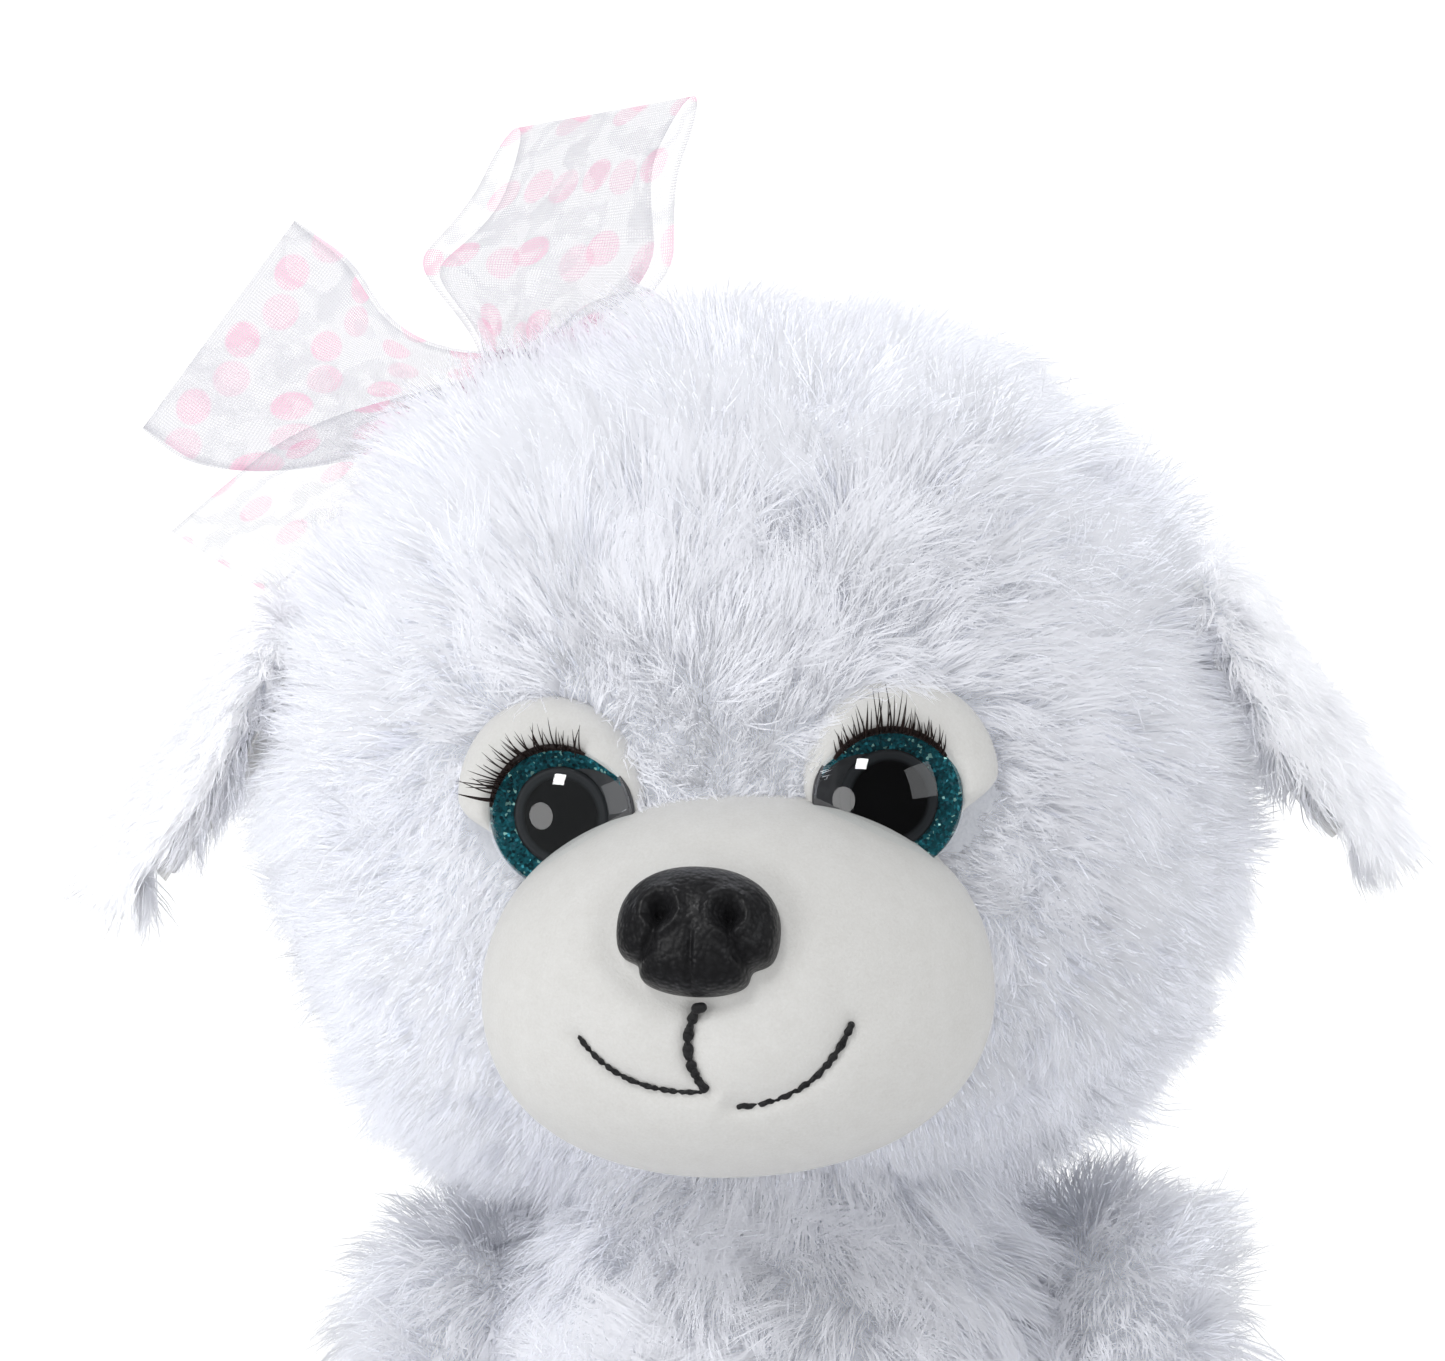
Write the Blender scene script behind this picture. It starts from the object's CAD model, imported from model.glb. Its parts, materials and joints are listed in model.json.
import json
import math

import bpy
import numpy as np
from mathutils import Matrix, Vector


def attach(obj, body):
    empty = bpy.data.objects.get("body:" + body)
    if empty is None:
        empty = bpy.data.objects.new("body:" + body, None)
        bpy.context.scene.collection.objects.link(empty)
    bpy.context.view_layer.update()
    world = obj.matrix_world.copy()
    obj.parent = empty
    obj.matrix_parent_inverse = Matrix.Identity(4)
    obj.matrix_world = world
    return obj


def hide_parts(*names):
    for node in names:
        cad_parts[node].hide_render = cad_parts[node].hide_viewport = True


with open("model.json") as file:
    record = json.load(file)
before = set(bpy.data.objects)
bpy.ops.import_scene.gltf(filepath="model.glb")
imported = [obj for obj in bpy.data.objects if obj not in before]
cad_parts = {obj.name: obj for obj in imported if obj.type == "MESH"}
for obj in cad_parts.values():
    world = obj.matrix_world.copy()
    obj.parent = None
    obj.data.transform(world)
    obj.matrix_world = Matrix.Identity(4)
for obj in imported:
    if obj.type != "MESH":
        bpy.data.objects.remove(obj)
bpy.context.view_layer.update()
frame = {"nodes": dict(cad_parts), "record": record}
print("frame loaded")

# Lengths are in millimetres until a mesh is made. +Z is up and the dog faces -Y.
millimetre = 0.001
sides = {"left": 1, "right": -1}
headCentre = np.array([0.0, 0.0, 179.0])
headHalf = np.array([63.0, 59.0, 59.0])
neckCentre = np.array([0.0, 0.0, 126.0])
floorGap = 0.4


# A vector divided by its length
def unit(vectors):
    vectors = np.asarray(vectors, float)
    return vectors / np.maximum(np.linalg.norm(vectors, axis=-1, keepdims=True), 1e-9)


# A smooth value near -1 to 1: the mean of sines along random directions, over size millimetres
def wander(points, size, seed):
    random = np.random.default_rng(seed)
    waves = unit(random.normal(size=(7, 3))) * random.uniform(0.6, 1.5, (7, 1))
    phases = random.uniform(0, 2 * math.pi, 7)
    return np.sin(points @ waves.T * (2 * math.pi / size) + phases).mean(-1) * 1.9


# 0 below low, 1 above high, with an easy slope between
def ease(value, low, high):
    t = np.clip((value - low) / (high - low), 0, 1)
    return t * t * (3 - 2 * t)


# A curve through evenly spaced heights, by four-point interpolation
def throughKnots(knots, t):
    knots = np.asarray(knots, float)
    last = len(knots) - 1
    place = np.clip(t, 0, 1) * last
    i = np.minimum(place.astype(int), last - 1)
    f = place - i
    before, here = knots[np.maximum(i - 1, 0)], knots[i]
    after, beyond = knots[i + 1], knots[np.minimum(i + 2, last)]
    slopeHere, slopeAfter = (after - before) / 2, (beyond - here) / 2
    return (
        here * (2 * f**3 - 3 * f**2 + 1)
        + slopeHere * (f**3 - 2 * f**2 + f)
        + after * (3 * f**2 - 2 * f**3)
        + slopeAfter * (f**3 - f**2)
    )


# Four-cornered faces between neighbouring rows of points, joined round if wrapped
def gridFaces(rows, columns, wrapped):
    index = np.arange(rows * columns).reshape(rows, columns)
    after = np.roll(index, -1, axis=1) if wrapped else index[:, 1:]
    here = index if wrapped else index[:, :-1]
    faces = np.stack([here[:-1], after[:-1], after[1:], here[1:]], -1)
    return faces.reshape(-1, 4)


# A closed surface through wrapped rows of points, with one point at each end
def closedShell(rows):
    count, around = rows.shape[:2]
    ends = [rows[0].mean(0), rows[-1].mean(0)]
    points = np.concatenate([rows.reshape(-1, 3), ends])
    ring = np.arange(around)
    after = np.roll(ring, -1)
    base = (count - 1) * around
    first = np.stack([np.full(around, count * around), after, ring], -1)
    last = np.stack([np.full(around, count * around + 1), ring + base, after + base], -1)
    quads = gridFaces(count, around, True)
    return outward(points, [quads, first, last])


# The faces, turned round if the volume they enclose comes out negative
def outward(points, faces):
    tris = asTriangles(faces)
    a, b, c = points[tris[:, 0]], points[tris[:, 1]], points[tris[:, 2]]
    if np.einsum("ij,ij->", a, np.cross(b, c)) < 0:
        faces = [f[:, ::-1] for f in faces]
    return points, faces


# Faces as triangles: a four-cornered one is cut from its first corner to its third
def asTriangles(faces):
    parts = []
    for f in faces:
        parts.append(f[:, :3])
        if f.shape[1] == 4:
            parts.append(f[:, [0, 2, 3]])
    return np.concatenate(parts)


# Several shells as one set of points and faces
def together(*shells):
    points, faces, offset = [], [], 0
    for shellPoints, shellFaces in shells:
        points.append(shellPoints)
        faces += [f + offset for f in shellFaces]
        offset += len(shellPoints)
    return np.concatenate(points), faces


# The mean of the face normals round each point, weighted by area
def pointNormals(points, faces):
    tris = asTriangles(faces)
    a, b, c = points[tris[:, 0]], points[tris[:, 1]], points[tris[:, 2]]
    face = np.cross(b - a, c - a)
    normals = np.stack(
        [sum(np.bincount(tris[:, k], face[:, i], len(points)) for k in range(3)) for i in range(3)],
        -1,
    )
    return unit(normals)


# Makes a mesh object and says what it rides on, stands for and is finished with
def addPiece(name, points, faces, material, body, slotName, standsFor=(), smooth=True):
    faces = [f for f in faces if len(f)]
    totals = np.concatenate([np.full(len(f), f.shape[1]) for f in faces])
    loops = np.concatenate([f.ravel() for f in faces]).astype(np.int32)
    mesh = bpy.data.meshes.new(name)
    mesh.vertices.add(len(points))
    mesh.vertices.foreach_set("co", (points * millimetre).astype(np.float32).ravel())
    mesh.loops.add(len(loops))
    mesh.loops.foreach_set("vertex_index", loops)
    mesh.polygons.add(len(totals))
    mesh.polygons.foreach_set("loop_start", (np.cumsum(totals) - totals).astype(np.int32))
    mesh.polygons.foreach_set("use_smooth", np.full(len(totals), smooth))
    mesh.update(calc_edges=True)
    mesh.materials.append(material)
    piece = bpy.data.objects.new(name, mesh)
    bpy.context.scene.collection.objects.link(piece)
    if body:
        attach(piece, body)
    if standsFor:
        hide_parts(*standsFor)
    return piece


# Gives each point of a mesh a vector or a number that its material reads
def addAttribute(piece, name, values):
    kind = "FLOAT_VECTOR" if values.ndim == 2 else "FLOAT"
    field = "vector" if values.ndim == 2 else "value"
    attribute = piece.data.attributes.new(name, kind, "POINT")
    attribute.data.foreach_set(field, values.astype(np.float32).ravel())


# Gives each point its place on the flat cloth, as a UV map
def addUv(piece, name, uv):
    mesh = piece.data
    corners = np.zeros(len(mesh.loops), np.int32)
    mesh.loops.foreach_get("vertex_index", corners)
    layer = mesh.uv_layers.new(name=name)
    layer.data.foreach_set("uv", uv[corners].astype(np.float32).ravel())


# Three directions at a point: across, up and out along the normal
def facing(normal):
    normal = unit(normal)
    across = unit(np.cross([0, 0, 1.0], normal))
    return across, unit(np.cross(normal, across)), normal


# An empty node material and its node tree
def newMaterial(name):
    material = bpy.data.materials.new(name)
    material.use_nodes = True
    material.node_tree.nodes.clear()
    return material, material.node_tree


# Adds a shader node, with its settings, and with numbers or links on its sockets
def addNode(tree, kind, settings=None, sockets=None):
    node = tree.nodes.new("ShaderNode" + kind)
    for key, value in (settings or {}).items():
        setattr(node, key, value)
    for key, value in (sockets or {}).items():
        if isinstance(value, bpy.types.NodeSocket):
            tree.links.new(value, node.inputs[key])
        else:
            node.inputs[key].default_value = value
    return node


# One sum on two values, each a number or a link
def maths(tree, operation, a, b=0.0, clamp=False):
    settings = {"operation": operation, "use_clamp": clamp}
    return addNode(tree, "Math", settings, {0: a, 1: b}).outputs[0]


# Two colours mixed: a where share is 0, b where it is 1
def mixColour(tree, share, a, b, blend="MIX"):
    settings = {"data_type": "RGBA", "blend_type": blend}
    node = addNode(tree, "Mix", settings)
    for index, value in ((0, share), (6, a), (7, b)):
        if isinstance(value, bpy.types.NodeSocket):
            tree.links.new(value, node.inputs[index])
        else:
            node.inputs[index].default_value = value
    return node.outputs[2]


# Each point's place in metres
def objectPlace(tree):
    return addNode(tree, "TexCoord").outputs["Object"]


# Smooth noise from 0 to 1, with about scale lumps to the metre
def noise(tree, place, scale, detail=3.0, rough=0.55):
    sockets = {"Vector": place, "Scale": scale, "Detail": detail, "Roughness": rough}
    return addNode(tree, "TexNoise", None, sockets).outputs["Fac"]


# A value that goes straight from start at low to end at high, and stays there outside them
def ramp(tree, value, low, high, start=0.0, end=1.0):
    sockets = {"Value": value, "From Min": low, "From Max": high, "To Min": start, "To Max": end}
    return addNode(tree, "MapRange", None, sockets).outputs["Result"]


# A normal tilted by the slope of a height, distance metres high at most
def bumped(tree, height, strength, distance, normal=None):
    sockets = {"Height": height, "Strength": strength, "Distance": distance}
    if normal:
        sockets["Normal"] = normal
    return addNode(tree, "Bump", None, sockets).outputs["Normal"]


# Makes a shader the material's surface
def output(tree, surface):
    addNode(tree, "OutputMaterial", None, {"Surface": surface})


# The usual shader, with the sockets given
def principled(tree, sockets):
    return addNode(tree, "BsdfPrincipled", None, sockets).outputs["BSDF"]


# A plain moulded or woven finish: two close colours by noise, with a fine bump
def grained(name, dark, light, scale, rough, bump, sheen=0.0, specular=0.4):
    material, tree = newMaterial(name)
    place = objectPlace(tree)
    grain = noise(tree, place, scale)
    patches = noise(tree, place, scale * 0.12)
    fine, broad = maths(tree, "MULTIPLY", grain, 0.6), maths(tree, "MULTIPLY", patches, 0.4)
    share = maths(tree, "ADD", fine, broad)
    colour = mixColour(tree, ramp(tree, share, 0.3, 0.7), dark, light)
    sockets = {
        "Base Color": colour,
        "Roughness": rough,
        "Specular IOR Level": specular,
        "Sheen Weight": sheen,
        "Normal": bumped(tree, grain, bump, 0.0003),
    }
    output(tree, principled(tree, sockets))
    return material


# Long pile: a tint along each fibre. Light from either side of a fibre is taken as if it fell
# on the coat, by a normal stored on it, and part of each bounce and shadow ray passes through.
def furFinish(name, root, tip, clear):
    material, tree = newMaterial(name)
    uv = addNode(tree, "UVMap", {"uv_map": "OFBake"}).outputs["UV"]
    parts = addNode(tree, "SeparateXYZ", None, {0: uv})
    along = mixColour(tree, ramp(tree, parts.outputs["Y"], 0.0, 0.6), root, tip)
    tint = ramp(tree, parts.outputs["X"], 0, 1, 0.95, 1.0)
    tinted = addNode(tree, "CombineColor", None, {0: tint, 1: tint, 2: tint}).outputs[0]
    colour = mixColour(tree, 1.0, along, tinted, "MULTIPLY")
    stored = addNode(tree, "Attribute", {"attribute_name": "lay"}).outputs["Vector"]
    settings = {"vector_type": "NORMAL", "convert_from": "OBJECT", "convert_to": "WORLD"}
    lay = addNode(tree, "VectorTransform", settings, {0: stored}).outputs[0]
    turned = addNode(tree, "VectorMath", {"operation": "SCALE"}, {0: lay, "Scale": -1.0}).outputs[0]
    near = addNode(tree, "BsdfDiffuse", None, {"Color": colour, "Normal": lay}).outputs[0]
    far = addNode(tree, "BsdfTranslucent", None, {"Color": colour, "Normal": turned}).outputs[0]
    both = addNode(tree, "AddShader", None, {0: near, 1: far}).outputs[0]
    path = addNode(tree, "LightPath").outputs
    bounce = maths(tree, "MAXIMUM", path["Is Shadow Ray"], path["Is Diffuse Ray"])
    passing = addNode(tree, "BsdfTransparent").outputs[0]
    share = maths(tree, "MULTIPLY", bounce, clear)
    output(tree, addNode(tree, "MixShader", None, {0: share, 1: both, 2: passing}).outputs[0])
    return material


# Roots spread over a surface by area and density, with the normal at each
def scatter(points, faces, normals, count, density, random):
    tris = asTriangles(faces)
    corners = points[tris]
    legs = corners[:, 1:] - corners[:, :1]
    area = np.linalg.norm(np.cross(legs[:, 0], legs[:, 1]), axis=1)
    centres = corners.mean(1)
    chance = area * density(centres)
    chosen = random.choice(len(tris), count, p=chance / chance.sum())
    a, b = random.uniform(size=(2, count, 1))
    over = a + b > 1
    a, b = np.where(over, 1 - a, a), np.where(over, 1 - b, b)
    weights = np.stack([1 - a - b, a, b], 1)
    roots = (points[tris[chosen]] * weights).sum(1)
    return roots, unit((normals[tris[chosen]] * weights).sum(1))


# The nearest of some spots to each point, in slices to save memory
def nearest(points, spots):
    found = np.empty(len(points), int)
    squares = (spots**2).sum(1)
    for start in range(0, len(points), 4000):
        part = slice(start, start + 4000)
        found[part] = np.argmin(squares - 2 * points[part] @ spots.T, axis=1)
    return found


# Four points along each fibre, which leaves the skin at one angle and lies over to another
def fibrePath(roots, normals, lay, length, rise, fall, droop):
    steps = np.array([0.17, 0.5, 0.83])[:, None, None]
    angle = rise + (fall - rise) * steps
    ways = unit(normals * np.cos(angle) + lay * np.sin(angle) + np.array([0, 0, -1.0]) * droop * steps)
    moves = ways * (length / 3)[:, None]
    return np.concatenate([roots[None], roots + np.cumsum(moves, 0)])


# The fibres' middle lines: tufts lean each its own way, and locks of fibres close at their tips
def coatPath(roots, normals, flow, settings, random):
    count = len(roots)
    tuftSpots = random.choice(count, max(count // settings["tuft"], 4), replace=False)
    lockSpots = random.choice(count, max(count // settings["lock"], 4), replace=False)
    tuft = nearest(roots, roots[tuftSpots])
    lock = nearest(roots, roots[lockSpots])

    lean = random.normal(size=(len(tuftSpots), 3)) * settings["lean"]
    lean = lean[tuft] + random.normal(size=(len(lockSpots), 3))[lock] * settings["lean"] * 0.45
    own = random.normal(size=(count, 3)) * settings["stray"]
    lay = flow(roots, normals) + lean + own
    lay = unit(lay - normals * (lay * normals).sum(1, keepdims=True))
    longer = np.clip(1 + 0.22 * random.normal(size=len(tuftSpots))[tuft], 0.6, settings["longest"])
    length = settings["length"] * settings["lengths"](roots) * longer
    length = length * random.uniform(0.72, 1.08, count)
    rise = settings["rise"] * random.uniform(0.6, 1.3, (count, 1))
    fall = settings["fall"] * (1 + 0.18 * random.normal(size=(len(tuftSpots), 1))[tuft])
    path = fibrePath(roots, normals, lay, length, rise, fall, settings["droop"])

    guide = path[:, lockSpots[lock]]
    pull = settings["pull"] * random.uniform(0.45, 1.0, len(lockSpots))[lock][:, None]
    closing = np.array([0.0, 0.3, 0.7, 1.0])[:, None, None] * pull
    path = path + (guide - path) * closing
    frizz = random.normal(size=(4, count, 3)) * np.array([0, 0.1, 0.22, 0.4])[:, None, None]
    path = path + frizz * settings["frizz"]
    path[..., 2] = np.maximum(path[..., 2], floorGap + random.uniform(0, 0.8, count))
    return path


# Flat tapering fibres: two points at each of three steps along a path, and one at its tip
def fibreBlades(path, along, normals, thick, settings, random):
    count = len(normals)
    flat = unit(np.cross(along, normals))
    spin = random.uniform(-1.0, 1.0, (count, 1)) * settings["spin"]
    side = unit(flat * np.cos(spin) + np.cross(along, flat) * np.sin(spin))
    half = thick / 2 * random.uniform(0.7, 1.25, (count, 1))
    taper = np.array([0.8, 1.0, 0.72])
    edges = [path[k] + s * side * half * taper[k] for k in range(3) for s in (-1, 1)]
    return np.stack(edges + [path[3]], 1)


# A coat of fibres on a surface, each stored with the coat's normal and its place along the fibre
def growFur(name, surface, flow, settings, body, slotName, material):
    random = np.random.default_rng(settings["seed"])
    points, faces = surface
    count = settings["count"] // 1
    thick = settings["width"] * 1.0
    roots, normals = scatter(
        points, faces, pointNormals(points, faces), count, settings["density"], random
    )
    path = coatPath(roots, normals, flow, settings, random)
    along = unit(path[3] - path[0])
    vertices = fibreBlades(path, along, normals, thick, settings, random)

    face = unit(normals - along * (normals * along).sum(1, keepdims=True))
    soft = unit(normals * settings["soft"] + face * (1 - settings["soft"]))
    lays = np.repeat(soft, 7, axis=0)
    drift = np.repeat(random.uniform(0, 1, count), 7)
    uv = np.stack([drift, np.tile([0, 0, 0.34, 0.34, 0.67, 0.67, 1], count)], 1)

    share = settings["share"](roots)
    for k, part in enumerate(settings["parts"]):
        keep = np.flatnonzero(share == k)
        base = np.arange(len(keep))[:, None] * 7
        quads = np.concatenate([base + [0, 1, 3, 2], base + [2, 3, 5, 4]])
        shell = [quads, base + [4, 5, 6]]
        blades = vertices[keep].reshape(-1, 3)
        piece = addPiece(name + part, blades, shell, material, body, slotName)
        rows = (keep[:, None] * 7 + np.arange(7)).ravel()
        addAttribute(piece, "lay", lays[rows])
        addUv(piece, "OFBake", uv[rows])
    print("fur", name, count)


# Which quarter a root is in: left or right, then front or back
def byQuarter(roots):
    return (roots[:, 0] < 0).astype(int) + 2 * (roots[:, 1] > 0).astype(int)


quarters = ("LeftFront", "RightFront", "LeftBack", "RightBack")


# Every root in the same part
def asOne(roots):
    return np.zeros(len(roots), int)


# One at every point, for an even coat
def everywhere(points):
    return np.ones(len(points))


# How far points are from a line between two points, less a radius that changes along it
def overCapsule(points, start, startRadius, end, endRadius):
    way = end - start
    t = np.clip((points - start) @ way / (way @ way), 0, 1)
    gap = np.linalg.norm(points - (start + t[:, None] * way), axis=1)
    return gap - (startRadius + (endRadius - startRadius) * t)


# A rounded limb: circles along a line, closing to a half ball at each end
def limbShell(start, startRadius, end, endRadius, rows=44, around=44):
    start, end = np.asarray(start, float), np.asarray(end, float)
    length = np.linalg.norm(end - start)
    way = (end - start) / length
    across, up, _ = facing(way if abs(way[2]) < 0.95 else way + [0.01, 0, 0])
    s = np.linspace(0, 1, rows)
    startTurn = np.clip(1 - s / 0.28, 0, 1) * math.pi / 2
    endTurn = np.clip((s - 0.72) / 0.28, 0, 1) * math.pi / 2
    middle = ease(s, 0.22, 0.78) * length
    place = middle - startRadius * np.sin(startTurn) + endRadius * np.sin(endTurn)
    mean = startRadius + (endRadius - startRadius) * np.clip(place / length, 0, 1)
    radius = mean * np.cos(startTurn) * np.cos(endTurn)
    radius[[0, -1]] = 0.02
    angle = np.linspace(0, 2 * math.pi, around, endpoint=False)
    circle = np.cos(angle)[:, None] * across + np.sin(angle)[:, None] * up
    rings = start + place[:, None, None] * way + radius[:, None, None] * circle
    rings[..., 2] = np.maximum(rings[..., 2], floorGap)
    return closedShell(rings)


plushFinish = furFinish("whitePlush", (0.70, 0.715, 0.78, 1), (0.82, 0.83, 0.88, 1), 0.78)
backing = grained(
    "plushBacking", (0.60, 0.62, 0.67, 1), (0.74, 0.755, 0.80, 1),
    scale=1800, rough=0.95, bump=0.5, sheen=0.3, specular=0.1,
)
velour = grained(
    "ivoryVelour", (0.70, 0.69, 0.665, 1), (0.77, 0.765, 0.745, 1),
    scale=2600, rough=0.9, bump=0.35, sheen=0.2, specular=0.15,
)
stuffing = grained(
    "stuffingFibre", (0.80, 0.80, 0.80, 1), (0.92, 0.92, 0.92, 1),
    scale=700, rough=0.95, bump=0.8, sheen=0.3, specular=0.1,
)
pouchCloth = grained(
    "pouchCloth", (0.72, 0.71, 0.67, 1), (0.82, 0.81, 0.78, 1),
    scale=2200, rough=0.85, bump=0.4,
)
beads = grained(
    "beadFilling", (0.80, 0.80, 0.78, 1), (0.92, 0.92, 0.90, 1),
    scale=500, rough=0.5, bump=1.0,
)
paleThread = grained(
    "paleThread", (0.70, 0.71, 0.74, 1), (0.86, 0.87, 0.90, 1),
    scale=3000, rough=0.7, bump=0.6,
)
palePlastic = grained(
    "palePlastic", (0.80, 0.80, 0.77, 1), (0.86, 0.86, 0.84, 1),
    scale=900, rough=0.4, bump=0.1,
)
darkPlastic = grained(
    "darkPlastic", (0.030, 0.030, 0.033, 1), (0.05, 0.05, 0.055, 1),
    scale=900, rough=0.4, bump=0.1,
)


# Paints CAD nodes that stay in view inside the dog
def paintInner():
    inner = {
        "sewing_thread": paleThread,
        "stuffing": stuffing,
        "pouch_cloth": pouchCloth,
        "bead_filling": beads,
        "washer_plastic": palePlastic,
        "post_plastic": darkPlastic,
    }
    for part in frame["record"]["subparts"]:
        if part["material_slot"] in inner:
            mesh = frame["nodes"][part["node"]].data
            mesh.materials.clear()
            mesh.materials.append(inner[part["material_slot"]])


paintInner()


headShape = {"width": 59.5, "depth": 55.0, "height": 56.5, "upper": 2.1, "lower": 2.5}
muzzleShape = {
    "centre": np.array([0.0, -52.0, 156.2]),
    "half": np.array([34.0, 27.5, 25.6]),
    "power": 2.15,
}
eyePlaces = {}
for sideName, sideSign in sides.items():
    eyeAway = np.array([21.9 * sideSign, 0.0, 0.9])
    eyeDepth = math.sqrt(1 - ((eyeAway / headHalf) ** 2).sum()) * headHalf[1]
    eyePoint = headCentre + eyeAway - [0, eyeDepth, 0]
    eyeNormal = unit((eyePoint - headCentre) / headHalf**2 * [0.66, 1, 1])
    eyePlaces[sideName] = (eyePoint - eyeNormal * 2.2, eyeNormal)


# The head: a rounded box between an ellipsoid and a cube, squarer towards the cheeks
def headShell():
    rows, around = 90, 130
    tilt = np.linspace(0.012, math.pi - 0.012, rows)[:, None, None]
    turn = np.linspace(0, 2 * math.pi, around, endpoint=False)[None, :, None]
    way = np.concatenate(
        [
            np.sin(tilt) * np.cos(turn),
            np.sin(tilt) * np.sin(turn),
            np.cos(tilt) * np.ones_like(turn),
        ],
        -1,
    )
    power = headShape["lower"] + (headShape["upper"] - headShape["lower"]) * ease(way[..., 2], -0.7, 0.2)
    wide = np.abs(way[..., 0]) / headShape["width"]
    tall = np.hypot(way[..., 1] / headShape["depth"], way[..., 2] / headShape["height"])
    radius = (wide**power + tall**power) ** (-1 / power)
    points = headCentre + way * radius[..., None]
    points += way * (wander(points.reshape(-1, 3), 45, 3).reshape(rows, around) * 0.7)[..., None]
    return closedShell(points)


# How far round an eye a point is, in the eye's own plane
def eyeRound(points, sideName):
    seat, normal = eyePlaces[sideName]
    across, up, _ = facing(normal)
    away = points - seat
    return away @ across, away @ up, away @ normal


# Zero on a lid's outline, below it inside: a circle set up and outward from the eye
def overLid(points, sideName):
    x, y, z = eyeRound(points, sideName)
    out = sides[sideName]
    gap = np.hypot(x - out * lidShape["out"], (y - lidShape["up"]) * 1.04) - lidShape["radius"]
    return np.where(np.abs(z) < 14, gap, 40)


lidShape = {"radius": 12.9, "up": 2.4, "out": 2.3}


# Zero on the muzzle's seam with the head, below it inside
def overMuzzle(points):
    away = (points - muzzleShape["centre"]) / muzzleShape["half"]
    flat = np.hypot(away[:, 0], away[:, 2] * 1.02)
    return np.where(points[:, 1] < -20, (flat - 1) * 30, 40)


# No roots in the muzzle, eyes, lids or neck, and more of them towards the face
def headDensity(points):
    clear = (overMuzzle(points) > -1.5) * 1.0
    for sideName in sides:
        x, y, z = eyeRound(points, sideName)
        clear *= (np.hypot(x, y) > 10.2) | (np.abs(z) > 14)
        clear *= overLid(points, sideName) > -0.5
    neck = np.hypot(points[:, 0], points[:, 1]) < 24
    clear *= ~(neck & (points[:, 2] < 150))
    return clear * (1 + 0.55 * ease(-points[:, 1], 0, 40))


# Full length, but half beside the muzzle and just over half beside the lids
def headLengths(points):
    muzzle = ease(overMuzzle(points), 0, 26)
    shortest = np.minimum(overLid(points, "left"), overLid(points, "right"))
    lid = ease(shortest, 0, 16)
    return (0.50 + 0.50 * muzzle) * (0.55 + 0.45 * lid)


# Fur runs away from the muzzle, over the face and down the back
def headFlow(points, normals):
    face = np.array([0.0, -70.0, 168.0])
    away = unit(points - face)
    swirl = np.stack([wander(points, 60, k) for k in (5, 6, 7)], -1)
    down = np.array([0, 0, -1.0]) * (0.35 + 0.5 * ease(points[:, 1:2], -20, 40))
    return away + down + swirl * 0.55


headFur = {
    "seed": 11,
    "count": 136000,
    "width": 0.2,
    "length": 14.0,
    "longest": 1.5,
    "lengths": headLengths,
    "density": headDensity,
    "tuft": 170,
    "lock": 26,
    "lean": 0.3,
    "stray": 0.25,
    "rise": 0.35,
    "fall": 1.15,
    "droop": 0.2,
    "pull": 0.42,
    "frizz": 1.1,
    "spin": 1.1,
    "soft": 0.8,
    "share": byQuarter,
    "parts": quarters,
}
headBase = headShell()
headSkin = addPiece(
    "headSkin", *headBase, backing, "head", "white_plush",
    ["head_gusset", "head_side_left", "head_side_right"],
)
growFur("headFur", headBase, headFlow, headFur, "head", "white_plush", plushFinish)
print("head done")


# The muzzle's front at a place seen from ahead: an ellipsoid, squared a little and wider below
def muzzleFront(x, z):
    half, middle = muzzleShape["half"], muzzleShape["centre"]
    tall = (z - middle[2]) / half[2]
    wide = x / (half[0] * (1 - 0.06 * tall))
    power = muzzleShape["power"]
    depth = np.clip(1 - np.abs(wide) ** power - np.abs(tall) ** power, 0, 1) ** (1 / power)
    return middle[1] - half[1] * depth


# A curve with one bend, as even steps from start to end
def bentLine(start, bend, end, steps=60):
    t = np.linspace(0, 1, steps)[:, None]
    return np.array(start) * (1 - t) ** 2 + 2 * np.array(bend) * t * (1 - t) + np.array(end) * t**2


mouthLines = {
    "Middle": (bentLine((-3.0, 157.0), (-6.4, 151.0), (-2.6, 145.5)), 0.62),
    "Right": (bentLine((-19.2, 153.4), (-14.2, 145.4), (-3.2, 145.5)), 0.34),
    "Left": (bentLine((0.8, 143.3), (11.8, 143.2), (16.8, 153.6)), 0.50),
}


# The least distance from points to a line of close steps
def besideLine(points, line):
    return np.sqrt(((points[:, None] - line[None]) ** 2).sum(-1)).min(1)


# Stitches pull the pile in along the mouth, and the nose presses a shallow seat
def muzzleDent(x, z):
    flat = np.stack([x, z], -1)
    dent = np.zeros(len(flat))
    for line, radius in mouthLines.values():
        gap = besideLine(flat, line)
        dent = np.maximum(dent, 0.75 * np.exp(-((gap / 1.1) ** 2)) + 0.75 * np.exp(-((gap / 4.5) ** 2)))
    nose = np.hypot((x - noseShape["centre"][0]) / 11.5, (z - noseShape["centre"][2]) / 9.2)
    return dent + 0.9 * np.exp(-(((nose - 1) / 0.22) ** 2))


noseShape = {"centre": np.array([-2.4, -77.2, 166.7]), "half": (10.7, 8.5), "depth": 6.4, "turn": -0.10}


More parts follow.
